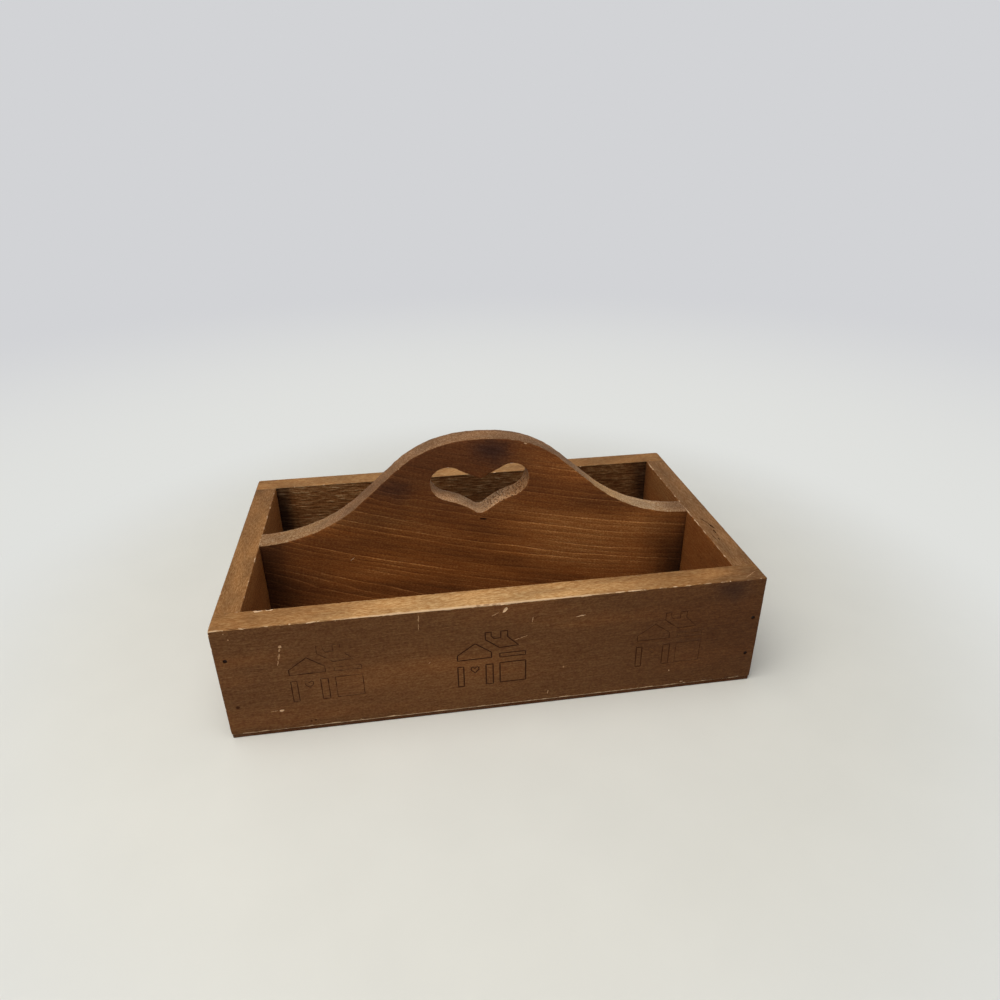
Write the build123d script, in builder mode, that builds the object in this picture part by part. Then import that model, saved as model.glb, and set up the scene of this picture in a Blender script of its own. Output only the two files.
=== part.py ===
"""Wooden caddy: an open box of nailed boards, split lengthwise by a divider that rises into a handle.

Millimetres. +X runs along the caddy to the right, +Y from front to back and +Z up. The origin is on the
resting surface, under the middle of the box.
"""

import os

from build123d import *

os.makedirs("parts", exist_ok=True)

# Box
caddy_length = 381.0
caddy_width = 228.6
board_height = 88.9
side_thickness = 19.05  # front and back boards
end_thickness = 17.5
edge_ease = 0.8  # radius on the boards' edges

# Bottom panel
panel_thickness = 3.2
panel_set_in = 0.6  # panel's edge behind the boards' outer faces

# Divider and handle
divider_thickness = 19.05
divider_set_back = 1.5  # divider's middle behind the middle of the box
handle_rise = 76.8  # crown of the arch above the rim

# Right half of the arch in shares of half the divider's length and of the rise: where the crown's gentle arc
# ends, the middle of the rounder shoulder, and the top and foot of the straight flank
arch_shares = ((0.0997, 0.9872), (0.2476, 0.8962), (0.3765, 0.7093), (0.532, 0.3993))

# Heart-shaped hand-hole
heart_width = 77.0
heart_height = 40.4
grip_height = 22.5  # wood between the heart's lobes and the crown

# A heart's right half, in shares of half its width and of its height above the tip
heart_notch_share = 0.718
heart_arc_shares = (
    ((0.40, 0.92), (0.69, 1.00), (0.95, 0.86)),
    ((0.95, 0.86), (1.00, 0.69), (0.93, 0.49)),
    ((0.93, 0.49), (0.84, 0.395), (0.70, 0.327)),
    ((0.70, 0.327), (0.43, 0.229), (0.12, 0.042)),
)

# Pressed house outlines on the front board
house_width = 48.2
house_height = 45.2
door_heart_width = 5.7
door_heart_height = 5.5
groove_width = 0.8
groove_depth = 0.6

# Closed outlines of the house's panels, in shares of its width and height
house_panel_shares = (
    ((0.0, 0.51), (0.0, 0.61), (0.26, 0.81), (0.495, 0.62), (0.495, 0.515)),
    ((0.0, 0.0), (0.0, 0.387), (0.085, 0.387), (0.085, 0.0)),
    ((0.411, 0.0), (0.411, 0.387), (0.515, 0.387), (0.515, 0.0)),
    ((0.618, 0.009), (0.618, 0.396), (1.0, 0.396), (1.0, 0.009)),
    ((0.618, 0.507), (0.618, 0.58), (0.996, 0.58), (0.996, 0.507)),
    (
        (0.411, 0.867),
        (0.411, 1.0),
        (0.496, 1.0),
        (0.496, 0.93),
        (0.531, 0.878),
        (0.635, 0.878),
        (0.635, 1.0),
        (0.734, 1.0),
        (0.734, 0.885),
        (0.894, 0.708),
        (0.618, 0.69),
    ),
)
door_heart_share = (0.25, 0.246)

# Lower left corners of the houses, in shares of the caddy's length and of the board's height
house_corner_shares = ((-0.380, 0.267), (-0.082, 0.234), (0.258, 0.243))

# Box nails, driven through the corners and into the divider, their heads set below the wood
nail_length = 38.0
nail_diameter = 1.8
nail_head_diameter = 2.4
nail_head_thickness = 0.9
nail_set_depth = 0.7
nail_point_length = 3.0
nail_clearance = 0.05

# Panel nails, driven up through the bottom panel
pin_length = 16.0
pin_diameter = 1.4
pin_head_diameter = 3.2
pin_head_thickness = 0.6
pin_set_depth = 0.3
pin_point_length = 2.0

# Nails of each corner, in shares of the end board's thickness and of the boards' height
front_left_nail_shares = ((0.39, 0.72), (0.47, 0.27))
front_right_nail_shares = ((0.32, 0.62), (0.39, 0.26))
back_left_nail_shares = ((0.45, 0.70), (0.40, 0.28))
back_right_nail_shares = ((0.42, 0.66), (0.48, 0.25))

# Nails into each end of the divider, in shares of the divider's thickness and of the boards' height
left_divider_nail_shares = ((-0.06, 0.74), (0.08, 0.32))
right_divider_nail_shares = ((0.05, 0.71), (-0.08, 0.29))

# Panel nails along a board, in shares of that board's length
long_row_shares = (-0.46, -0.23, 0.0, 0.23, 0.46)
end_row_shares = (-0.3, 0.3)
divider_row_shares = (-0.42, 0.0, 0.42)

# Places worked out from the sizes above
rim_z = panel_thickness + board_height
crown_z = rim_z + handle_rise
inner_width = caddy_width - 2 * side_thickness
divider_length = caddy_length - 2 * end_thickness
front_plane = Plane.XZ.offset(caddy_width / 2)
divider_front_plane = Plane.XZ.offset(divider_thickness / 2 - divider_set_back)
panel_top_plane = Plane.XY.offset(panel_thickness)


def draw_heart(tip_x, tip_y, width, height):
    """Draw a closed heart with its tip at the given place, in the line builder that is open."""

    def at(side, share):
        return (tip_x + side * share[0] * width / 2, tip_y + share[1] * height)

    for side in (-1, 1):
        Line(at(side, (0, heart_notch_share)), at(side, heart_arc_shares[0][0]))
        for arc in heart_arc_shares:
            ThreePointArc(*[at(side, share) for share in arc])
    flank_end = heart_arc_shares[-1][-1]
    ThreePointArc(at(-1, flank_end), (tip_x, tip_y), at(1, flank_end))


def drill_nails(places):
    """Sink a box nail's bore and head pocket at each place, in the part builder that is open."""
    with Locations(*places):
        CounterBoreHole(
            radius=nail_diameter / 2 + nail_clearance,
            counter_bore_radius=nail_head_diameter / 2 + nail_clearance,
            counter_bore_depth=nail_set_depth + nail_head_thickness + nail_clearance,
            depth=nail_set_depth + nail_length + nail_clearance,
        )


def drill_pins(places):
    """Sink a panel nail's bore and head pocket at each place, in the part builder that is open."""
    with Locations(*places):
        CounterBoreHole(
            radius=pin_diameter / 2 + nail_clearance,
            counter_bore_radius=pin_head_diameter / 2 + nail_clearance,
            counter_bore_depth=pin_set_depth + pin_head_thickness + nail_clearance,
            depth=pin_set_depth + pin_length + nail_clearance,
        )


def corner_places(shares, x_side, y_side):
    """Planes for the nails of one corner, each facing out of the front or back board."""
    return [
        Plane(
            origin=(
                x_side * (caddy_length / 2 - inset * end_thickness),
                y_side * caddy_width / 2,
                panel_thickness + height * board_height,
            ),
            z_dir=(0, y_side, 0),
        )
        for inset, height in shares
    ]


def divider_places(shares, x_side):
    """Planes for the nails into one end of the divider, each facing out of the end board."""
    return [
        Plane(
            origin=(
                x_side * caddy_length / 2,
                divider_set_back + across * divider_thickness,
                panel_thickness + height * board_height,
            ),
            z_dir=(x_side, 0, 0),
        )
        for across, height in shares
    ]


def long_row_places(shares, length, y):
    """Planes for a row of panel nails along the caddy, facing down."""
    return [Plane(origin=(share * length, y, 0), z_dir=(0, 0, -1)) for share in shares]


def end_row_places(x):
    """Planes for a row of panel nails under an end board, facing down."""
    return [Plane(origin=(x, share * inner_width, 0), z_dir=(0, 0, -1)) for share in end_row_shares]


# Where every nail goes
front_left_places = corner_places(front_left_nail_shares, -1, -1)
front_right_places = corner_places(front_right_nail_shares, 1, -1)
back_left_places = corner_places(back_left_nail_shares, -1, 1)
back_right_places = corner_places(back_right_nail_shares, 1, 1)
left_divider_places = divider_places(left_divider_nail_shares, -1)
right_divider_places = divider_places(right_divider_nail_shares, 1)
side_row_y = (caddy_width - side_thickness) / 2
end_row_x = (caddy_length - end_thickness) / 2
front_pin_places = long_row_places(long_row_shares, caddy_length, -side_row_y)
back_pin_places = long_row_places(long_row_shares, caddy_length, side_row_y)
left_pin_places = end_row_places(-end_row_x)
right_pin_places = end_row_places(end_row_x)
divider_pin_places = long_row_places(divider_row_shares, divider_length, divider_set_back)

# House outline, drawn once and pressed three times
with BuildSketch() as house:
    for panel in house_panel_shares:
        with BuildLine():
            Polyline(*[(x * house_width, y * house_height) for x, y in panel], close=True)
        make_face()
    with BuildLine():
        draw_heart(
            door_heart_share[0] * house_width,
            door_heart_share[1] * house_height,
            door_heart_width,
            door_heart_height,
        )
    make_face()
    offset(amount=groove_width / 2)
    offset(amount=-groove_width, mode=Mode.SUBTRACT)

# Front board
house_places = [(x * caddy_length, panel_thickness + y * board_height) for x, y in house_corner_shares]
with BuildPart() as front_board:
    with BuildSketch(panel_top_plane):
        with Locations((0, -side_row_y)):
            Rectangle(caddy_length, side_thickness)
    extrude(amount=board_height)
    fillet(front_board.edges(), radius=edge_ease)
    with BuildSketch(front_plane):
        with Locations(*house_places):
            add(house.sketch)
    extrude(amount=-groove_depth, mode=Mode.SUBTRACT)
    drill_nails(front_left_places + front_right_places)
    drill_pins(front_pin_places)
front_board.part.label = "front_board"
export_step(front_board.part, "parts/front_board.step")

# Back board
with BuildPart() as back_board:
    with BuildSketch(panel_top_plane):
        with Locations((0, side_row_y)):
            Rectangle(caddy_length, side_thickness)
    extrude(amount=board_height)
    fillet(back_board.edges(), radius=edge_ease)
    drill_nails(back_left_places + back_right_places)
    drill_pins(back_pin_places)
back_board.part.label = "back_board"
export_step(back_board.part, "parts/back_board.step")

# Left end board
with BuildPart() as left_end_board:
    with BuildSketch(panel_top_plane):
        with Locations((-end_row_x, 0)):
            Rectangle(end_thickness, inner_width)
    extrude(amount=board_height)
    fillet(left_end_board.edges(), radius=edge_ease)
    drill_nails(front_left_places + back_left_places + left_divider_places)
    drill_pins(left_pin_places)
left_end_board.part.label = "left_end_board"
export_step(left_end_board.part, "parts/left_end_board.step")

# Right end board
with BuildPart() as right_end_board:
    with BuildSketch(panel_top_plane):
        with Locations((end_row_x, 0)):
            Rectangle(end_thickness, inner_width)
    extrude(amount=board_height)
    fillet(right_end_board.edges(), radius=edge_ease)
    drill_nails(front_right_places + back_right_places + right_divider_places)
    drill_pins(right_pin_places)
right_end_board.part.label = "right_end_board"
export_step(right_end_board.part, "parts/right_end_board.step")

# Divider with the arched handle: crown and shoulder arcs, straight flanks and foot arcs level with the rim
divider_end = divider_length / 2
heart_tip_z = crown_z - grip_height - heart_height
with BuildPart() as divider:
    with BuildSketch(divider_front_plane):
        with BuildLine():
            Polyline(
                (-divider_end, rim_z),
                (-divider_end, panel_thickness),
                (divider_end, panel_thickness),
                (divider_end, rim_z),
            )
            for side in (-1, 1):
                crown_edge, shoulder, flank_top, flank_foot = [
                    (side * x * divider_end, rim_z + z * handle_rise) for x, z in arch_shares
                ]
                ThreePointArc(crown_edge, shoulder, flank_top)
                Line(flank_top, flank_foot)
                TangentArc((side * divider_end, rim_z), flank_foot, tangent=(-side, 0))
            ThreePointArc((-crown_edge[0], crown_edge[1]), (0, crown_z), crown_edge)
        make_face()
        with BuildLine():
            draw_heart(0, heart_tip_z, heart_width, heart_height)
        make_face(mode=Mode.SUBTRACT)
    extrude(amount=-divider_thickness)
    broad_faces = divider.faces().filter_by(Axis.Y)
    fillet([edge for face in broad_faces for edge in face.outer_wire().edges()], radius=edge_ease)
    drill_nails(left_divider_places + right_divider_places)
    drill_pins(divider_pin_places)
divider.part.label = "divider"
export_step(divider.part, "parts/divider.step")

# Bottom panel
with BuildPart() as bottom_panel:
    with BuildSketch(Plane.XY):
        Rectangle(caddy_length - 2 * panel_set_in, caddy_width - 2 * panel_set_in)
    extrude(amount=panel_thickness)
    drill_pins(front_pin_places + back_pin_places)
    drill_pins(left_pin_places + right_pin_places + divider_pin_places)
bottom_panel.part.label = "bottom_panel"
export_step(bottom_panel.part, "parts/bottom_panel.step")

# One box nail and one panel nail, each pointing down from a board's face at the origin
with BuildPart() as box_nail:
    with BuildSketch(Plane.XZ):
        with BuildLine():
            Polyline(
                (0, -nail_set_depth),
                (nail_head_diameter / 2, -nail_set_depth),
                (nail_head_diameter / 2, -nail_set_depth - nail_head_thickness),
                (nail_diameter / 2, -nail_set_depth - nail_head_thickness),
                (nail_diameter / 2, nail_point_length - nail_set_depth - nail_length),
                (0, -nail_set_depth - nail_length),
                close=True,
            )
        make_face()
    revolve(axis=Axis.Z)

with BuildPart() as panel_nail:
    with BuildSketch(Plane.XZ):
        with BuildLine():
            Polyline(
                (0, -pin_set_depth),
                (pin_head_diameter / 2, -pin_set_depth),
                (pin_head_diameter / 2, -pin_set_depth - pin_head_thickness),
                (pin_diameter / 2, -pin_set_depth - pin_head_thickness),
                (pin_diameter / 2, pin_point_length - pin_set_depth - pin_length),
                (0, -pin_set_depth - pin_length),
                close=True,
            )
        make_face()
    revolve(axis=Axis.Z)

# Each joint's nails, as one group of separate solids
nail_groups = {
    "front_left_nails": (box_nail, front_left_places),
    "front_right_nails": (box_nail, front_right_places),
    "back_left_nails": (box_nail, back_left_places),
    "back_right_nails": (box_nail, back_right_places),
    "left_divider_nails": (box_nail, left_divider_places),
    "right_divider_nails": (box_nail, right_divider_places),
    "front_panel_nails": (panel_nail, front_pin_places),
    "back_panel_nails": (panel_nail, back_pin_places),
    "left_panel_nails": (panel_nail, left_pin_places),
    "right_panel_nails": (panel_nail, right_pin_places),
    "divider_panel_nails": (panel_nail, divider_pin_places),
}
for group_name, (nail, places) in nail_groups.items():
    with BuildPart() as nails:
        with Locations(*places):
            add(nail.part)
    nails.part.label = group_name
    export_step(nails.part, f"parts/{group_name}.step")
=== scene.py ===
"""Wooden caddy: stained pine boards with worn edges, three pressed houses and a plain studio stage.

Metres. +X runs along the caddy to the right, +Y from front to back and +Z up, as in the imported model.
"""

import math
import random
from dataclasses import dataclass

import bmesh
import bpy
from bpy.props import FloatProperty, FloatVectorProperty, PointerProperty
from bpy.types import Operator, Panel, PropertyGroup
from mathutils import Matrix, Vector, noise


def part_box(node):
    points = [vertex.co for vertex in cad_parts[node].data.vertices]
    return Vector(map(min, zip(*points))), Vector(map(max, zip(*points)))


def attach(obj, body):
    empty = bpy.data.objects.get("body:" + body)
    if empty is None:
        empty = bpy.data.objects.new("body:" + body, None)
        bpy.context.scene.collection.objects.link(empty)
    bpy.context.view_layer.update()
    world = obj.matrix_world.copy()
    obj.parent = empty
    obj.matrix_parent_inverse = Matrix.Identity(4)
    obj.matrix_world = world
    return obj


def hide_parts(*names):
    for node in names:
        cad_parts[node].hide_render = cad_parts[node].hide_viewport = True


bl_info = {
    "name": "Wooden caddy",
    "version": (1, 0, 0),
    "blender": (4, 5, 0),
    "location": "View3D > Sidebar > Caddy",
    "description": "Models a worn pine caddy with a heart hand-hole around its packed solids",
    "category": "Object",
}

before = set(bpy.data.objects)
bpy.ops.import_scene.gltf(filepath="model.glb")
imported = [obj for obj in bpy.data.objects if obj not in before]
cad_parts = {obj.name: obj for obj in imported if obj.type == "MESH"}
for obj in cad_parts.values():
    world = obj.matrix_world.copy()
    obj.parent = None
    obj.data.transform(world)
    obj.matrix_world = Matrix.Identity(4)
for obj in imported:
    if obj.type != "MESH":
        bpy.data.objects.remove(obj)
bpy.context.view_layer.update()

MM = 0.001
BODY = "root"

# Material slots of the hollows in a carved board, after the slot of its finish
PRESSED, RAW, FAINT, SCUFF = range(1, 5)

# How much paler than the wood round it a growth line is at its clearest
LINE_LIFT = (2.5, 3.1, 3.9, 1.0)

# How far growth lines swell round a knot, and how far they sway along the trunk, in millimetres
KNOT_SWELL = 5
TRUNK_SWAY = 14

# How strongly red, green and blue change where the stain lies thicker or thinner
STAIN_CAST = (0.65, 1.0, 1.45)

# A heart's right half, in shares of half its width and of its height above the tip
HEART_NOTCH = 0.718
HEART_ARCS = (
    ((0.40, 0.92), (0.69, 1.00), (0.95, 0.86)),
    ((0.95, 0.86), (1.00, 0.69), (0.93, 0.49)),
    ((0.93, 0.49), (0.84, 0.395), (0.70, 0.327)),
    ((0.70, 0.327), (0.43, 0.229), (0.12, 0.042)),
)

# Right half of the arch in shares of half the divider's length and of the rise: where the crown's gentle arc
# ends, the middle of the rounder shoulder, and the top and foot of the straight flank
ARCH = ((0.0997, 0.9872), (0.2476, 0.8962), (0.3765, 0.7093), (0.532, 0.3993))

# Closed outlines of a house: gable, posts, side wall, eave, roof with chimneys, and the heart in the doorway,
# in shares of its size
HOUSE_PANELS = (
    ((0.0, 0.51), (0.0, 0.61), (0.26, 0.81), (0.495, 0.62), (0.495, 0.515)),
    ((0.0, 0.0), (0.0, 0.387), (0.085, 0.387), (0.085, 0.0)),
    ((0.411, 0.0), (0.411, 0.387), (0.515, 0.387), (0.515, 0.0)),
    ((0.618, 0.009), (0.618, 0.396), (1.0, 0.396), (1.0, 0.009)),
    ((0.618, 0.507), (0.618, 0.58), (0.996, 0.58), (0.996, 0.507)),
    ((0.411, 0.867), (0.411, 1.0), (0.496, 1.0), (0.496, 0.93), (0.531, 0.878), (0.635, 0.878),
     (0.635, 1.0), (0.734, 1.0), (0.734, 0.885), (0.894, 0.708), (0.618, 0.69)),
    ((0.25, 0.246), (0.306, 0.306), (0.306, 0.351), (0.28, 0.366), (0.25, 0.334), (0.22, 0.366),
     (0.194, 0.351), (0.194, 0.306)),
)

# Each house: lower left corner in shares of the board's length and height, and how deep each outline was
# pressed, in shares of the deepest line
HOUSES = (
    ((0.120, 0.267), (0.66, 0.62, 0.6, 0.46, 0.35, 0.38, 0.52)),
    ((0.418, 0.234), (1.0, 1.0, 1.0, 1.0, 0.85, 0.95, 0.8)),
    ((0.758, 0.243), (0.6, 0.95, 0.85, 0.42, 0.42, 0.56, 0.25)),
)

# Scratches on the front board: where each starts and ends, along the board from its left end and up from the
# floor, its width, and the slot of its lining. Lengths are in millimetres here and below
FRONT_SCRATCHES = (
    ((40.6, 64.4), (41.9, 69.4), 1.7, SCUFF),
    ((39.3, 59.3), (40.4, 63.6), 0.9, SCUFF),
    ((29.0, 20.3), (34.2, 20.8), 0.7, SCUFF),
    ((134.2, 83.4), (134.7, 89.0), 1.1, SCUFF),
    ((134.0, 77.0), (134.2, 82.2), 0.7, SCUFF),
    ((183.6, 82.2), (189.4, 85.6), 1.2, SCUFF),
    ((211.9, 74.0), (212.5, 78.4), 1.1, SCUFF),
    ((243.0, 74.9), (249.4, 75.9), 1.2, RAW),
    ((199.5, 60.4), (209.5, 63.4), 0.9, SCUFF),
    ((223.8, 8.6), (224.2, 12.0), 1.0, SCUFF),
    ((325.2, 5.6), (327.4, 6.0), 1.0, RAW),
    ((139.2, 47.6), (140.6, 48.8), 0.9, SCUFF),
)

# Dabs and chips on the front board: where each is, half its size, its lean in degrees and its slot
FRONT_DABS = (
    ((9.4, 89.0), (0.5, 0.4, 0.5), 0, SCUFF),
    ((11.7, 84.1), (0.5, 0.4, 0.6), 0, SCUFF),
    ((42.9, 74.7), (1.2, 0.4, 1.0), 0, SCUFF),
    ((42.2, 71.8), (0.7, 0.4, 1.3), 12, SCUFF),
    ((36.7, 20.5), (1.6, 0.4, 0.9), -10, RAW),
    ((193.3, 86.5), (1.1, 0.5, 2.7), 30, RAW),
    ((315.5, 17.7), (0.5, 0.4, 0.8), 0, SCUFF),
    ((235.1, 32.1), (0.5, 0.4, 0.8), 20, SCUFF),
    ((55.0, 8.0), (0.9, 0.4, 0.6), 0, FAINT),
    ((58.0, 8.6), (0.9, 0.4, 0.6), 0, FAINT),
    ((174.8, 92.1), (1.9, 0.8, 0.7), 0, SCUFF),
    ((180.2, 92.1), (2.6, 1.3, 0.9), 4, SCUFF),
    ((185.9, 92.1), (1.9, 0.9, 0.8), -5, SCUFF),
    ((190.9, 92.1), (2.2, 1.4, 1.2), 6, RAW),
)

# Drying crack in the right end's top edge, with its side splits: each from one point to another in X and Y
CRACKS = (
    ((178.5, -22.7), (181.2, -30.4), 1.2, PRESSED),
    ((181.5, -31.6), (183.2, -40.4), 1.6, PRESSED),
    ((180.9, -42.4), (181.4, -47.6), 1.6, PRESSED),
    ((179.5, -54.2), (179.7, -58.0), 1.3, PRESSED),
    ((176.7, -49.0), (177.6, -58.6), 0.8, FAINT),
)

# Cosines above which an edge counts as parallel to an axis, and a vertex as part of a flat face
PARALLEL = 0.999
FLAT = 0.985

# Chips and dabs are this ragged, in shares of their radius
RAGGED = 0.24

# A house is pressed in steps of this length, unevenly over lumps of this size
PRESS_STEP = 1.6
PRESS_LUMP = 4.0

# Outlines that are pressed less deep than this share of the deepest line hold less stain
FAINT_DEPTH = 0.65

# Nail heads lie within this of their group's outermost point, and nails stand at least this far apart
HEAD_LEVEL = 0.02
NAIL_GAP = 4.0

# Pockets round the nail heads: radius in the front, in the other boards and in the sheet, sides, how far they
# reach below the heads and above the face, how ragged they are, and the depth of a filled one
FRONT_POCKET, BOARD_POCKET, SHEET_POCKET = 1.45, 1.3, 1.8
POCKET_SIDES = 14
POCKET_SINK = 0.1
POCKET_RISE = 2.0
POCKET_RAGGED = 0.12
DIMPLE_DEPTH = 0.35

# Pits in the heart's edge: how many at most and how far apart at least
PIT_COUNT = 75
PIT_SPACING = 2.2

# Studio, in metres, watts and degrees: a round floor that bends up into a wall, how far from the caddy the
# lamp's light still shapes the floor and where it no longer does, the lamp, the room's light, and the camera
# with its azimuth, elevation and roll, matched to the photograph's viewing angle
FLOOR_RADIUS = 1.5
FLOOR_BEND = 0.6
BEND_STEPS = 12
WALL_HEIGHT = 0.8
LIT_REACH = (0.27, 0.5)
LAMP_PLACE = (-0.4, -0.45, 1.45)
LAMP_AIM = (0, 0, 0.05)
LAMP_SIZE = 1.6
LAMP_POWER = 24.0
ROOM_LIGHT = 0.215
CAMERA_PLACE = (-0.0578, -0.5100, 0.3732)
CAMERA_TURN = (-8.30, 26.91, -0.68)
CAMERA_LENS = 25.884
CAMERA_SENSOR = 36.0


def linear(code):
    """An sRGB hex colour as the linear RGBA that Blender's sockets take."""
    channels = [int(code[start:start + 2], 16) / 255 for start in (1, 3, 5)]
    return (*[c / 12.92 if c <= 0.04045 else ((c + 0.055) / 1.055) ** 2.4 for c in channels], 1.0)


def size_value(name, description, millimetres):
    """A length that the user can change, given in millimetres."""
    return FloatProperty(name=name, description=description, default=millimetres * MM, min=0.0,
                         precision=5, unit="LENGTH")


def tint(name, description, code):
    """A colour that the user can change, given as sRGB hex."""
    return FloatVectorProperty(name=name, description=description, default=linear(code), size=4,
                               min=0.0, max=1.0, subtype="COLOR")


class CaddySizes(PropertyGroup):
    """Sizes that a user would change"""

    arris_radius: size_value("Edge rounding", "Radius on the boards' outer edges", 0.5)
    crisp_radius: size_value("Crisp rounding", "Radius on the boards' inner edges", 0.15)
    arris_wear: size_value("Edge wear", "Deepest hollow that wear leaves along an edge", 0.35)
    face_wave: size_value("Face wave", "How far the planed faces depart from flat", 0.08)
    saw_ridge: size_value("Saw ridges", "Height of the torn fibres inside the back board", 0.8)
    line_radius: size_value("Line radius", "Radius of the round edge that pressed the houses", 0.5)
    line_depth: size_value("Line depth", "Depth of the clearest pressed line", 0.36)
    house_width: size_value("House width", "Width of one pressed house", 48.2)
    house_height: size_value("House height", "Height of one pressed house", 45.2)
    heart_width: size_value("Heart width", "Width of the hand-hole", 77.0)
    heart_height: size_value("Heart height", "Height of the hand-hole", 40.4)
    grip_height: size_value("Grip height", "Wood between the hand-hole and the crown", 22.5)


class CaddyColours(PropertyGroup):
    """Colours that a user would change"""

    stain: tint("Stain", "Brown of the outer faces", "#5F3B1C")
    deep_stain: tint("Deep stain", "Where the wood drank more stain", "#4A270A")
    warm_stain: tint("Warm stain", "Reddish brown inside the caddy", "#955625")
    red_stain: tint("Red stain", "Where the inside drank more stain", "#5A3116")
    glow: tint("Thin stain", "Orange brown where the stain lies thin", "#B0723C")
    # Mostly painted shade in the inner corners and on shaded inner faces, with some dust and stain
    soil_and_painted_shade: tint("Soil", "Dust and stain pooled in the inner corners", "#1E0F07")
    rough: tint("Rough wood", "Rough-sawn inside of the back board", "#875B33")
    edge: tint("Edge", "Tan of the handled top edges", "#94673A")
    gold: tint("Gold", "Wood that hands have polished and sun has bleached", "#C2945F")
    sawn: tint("Sawn edge", "Greyer tan of the sawn arch and hand-hole", "#7C5839")
    raw: tint("Raw pine", "Wood bared by chips and scratches", "#DDBB95")
    knot: tint("Knot", "Dark wood of the knots", "#3A2118")
    pressed: tint("Pressed line", "Dark burnished wood in the pressed lines", "#2C1508")
    # Darker than browned steel alone: partly painted shade, so that heads deep in their holes look as dark as
    # the holes
    steel: tint("Nail steel", "Browned steel of the nails", "#140E0A")
    sheet: tint("Sheet", "Brown of the bottom sheet", "#573A25")
    floor: tint("Floor", "Pale floor in the lamp's light", "#E6E5DF")
    floor_near: tint("Floor beyond the light", "Pale floor past the lamp's light", "#E0E1DE")
    floor_far: tint("Backdrop", "Pale wall far behind the caddy", "#D2D3D6")
    room: tint("Room light", "Cool light from all round", "#E6EEFA")
    lamp: tint("Lamp", "Warm white of the lamp", "#FFFCF5")


@dataclass(frozen=True)
class Log:
    """How a board lay in its log and how it has been used. Lengths are in millimetres, angles in degrees."""

    turn: tuple  # turns the board so that its grain runs along X
    heart: tuple  # the board's own origin, measured from the log's heart
    ring: float  # width of a year's growth
    bow: float = 0.0  # bend of the trunk along the board, per metre
    clear: float = 0.2  # how clearly the growth lines show
    cloudy: float = 0.5  # how unevenly the stain took
    pores: float = 0.5  # how strongly the pores show
    fibres: float = 0.26  # how strongly the fibres show
    tan: float = 1.0  # how pale the top edge is, against the palest
    patches: tuple = ()  # each a spot, its half sizes, the name of its colour and a strength
    calm: tuple = ()  # each a spot and half sizes where the growth lines fade
    rims: tuple = ()  # as the patches, for the top edge or the sawn edges
    # Bare edges are wear on the top edges, and a painted highlight along the front's bottom edge
    worn_and_highlit: tuple = ()  # each a spot, half sizes and how much wider the edges are worn bare there


def sizes():
    """The sizes that the user can change."""
    return bpy.context.scene.caddy_sizes


def colours():
    """The colours that the user can change."""
    return bpy.context.scene.caddy_colours


def fill_inputs(tree, node, values):
    """Set a node's inputs, or link those whose value is another node's output."""
    for socket, value in values.items():
        if isinstance(value, bpy.types.NodeSocket):
            tree.links.new(value, node.inputs[socket])
        else:
            node.inputs[socket].default_value = value


def add_node(tree, kind, values=None, out=0, stops=(), **settings):
    """Add a shader node, fill its inputs, and return one of its outputs or the node itself."""
    node = tree.nodes.new("ShaderNode" + kind)
    for setting, value in settings.items():
        setattr(node, setting, value)
    fill_inputs(tree, node, values or {})
    for number, (position, shade) in enumerate(stops):
        points = node.color_ramp.elements
        point = points[number] if number < len(points) else points.new(position)
        point.position = position
        point.color = (*shade, 1.0) if isinstance(shade, tuple) else (shade, shade, shade, 1.0)
    return node if out is None else node.outputs[out]


def maths(tree, operation, *values):
    """The result of an operation on numbers."""
    return add_node(tree, "Math", dict(enumerate(values)), operation=operation)


def vector_maths(tree, operation, *values, out=0):
    """The result of an operation on vectors; a length or a dot product comes out at "Value"."""
    return add_node(tree, "VectorMath", dict(enumerate(values)), out=out, operation=operation)


def ranged(tree, value, start, end, low=0.0, high=1.0, **settings):
    """Turn a value's run from start to end into a run from low to high, held at both."""
    return add_node(tree, "MapRange", {0: value, 1: start, 2: end, 3: low, 4: high}, **settings)


def blend(tree, share, under, over, how="MIX"):
    """Lay a share of one colour over another."""
    return add_node(tree, "Mix", {0: share, 6: under, 7: over}, out=2, data_type="RGBA", blend_type=how)


def shaded(tree, colour, pattern, stops):
    """Darken and lighten a colour by a pattern, as a ramp's stops say."""
    shade = add_node(tree, "ValToRGB", {0: pattern}, stops=stops)
    return blend(tree, 1.0, colour, shade, "MULTIPLY")


def new_material(name):
    """An empty node material with a shader joined to its output; returns material, tree and shader."""
    material = bpy.data.materials.new(name)
    material.use_nodes = True
    tree = material.node_tree
    tree.nodes.clear()
    shader = add_node(tree, "BsdfPrincipled", out=None)
    add_node(tree, "OutputMaterial", {"Surface": shader.outputs[0]}, out=None)
    return material, tree, shader


def per(*millimetres):
    """How many repeats a metre holds along each axis, for a pattern of these sizes in millimetres."""
    return tuple(1 / (size * MM) for size in millimetres)


def swing(depth, low=0.3, high=0.7):
    """Stops of a ramp from stain that lies thick, dark and red, to stain that lies thin and pale."""
    thick = tuple(math.exp(-depth * share) for share in STAIN_CAST)
    thin = tuple(math.exp(depth * share) for share in STAIN_CAST)
    return ((low, thick), ((low + high) / 2, (1.0, 1.0, 1.0)), (high, thin))


def nearness(tree, place, spot, half):
    """How near a point lies to a spot: 1 at its middle, 0 beyond the half sizes, with a ragged border."""
    away = vector_maths(tree, "SUBTRACT", place, Vector(spot) * MM)
    shares = vector_maths(tree, "MULTIPLY", away, per(*half))
    far = vector_maths(tree, "LENGTH", shares, out="Value")
    ragged = add_node(tree, "TexNoise", {"Vector": shares, "Scale": 1.6, "Detail": 3.0})
    uneven = maths(tree, "MULTIPLY_ADD", ragged, 0.9, far)
    return ranged(tree, uneven, 1.35, 0.5, interpolation_type="SMOOTHSTEP")


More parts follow.
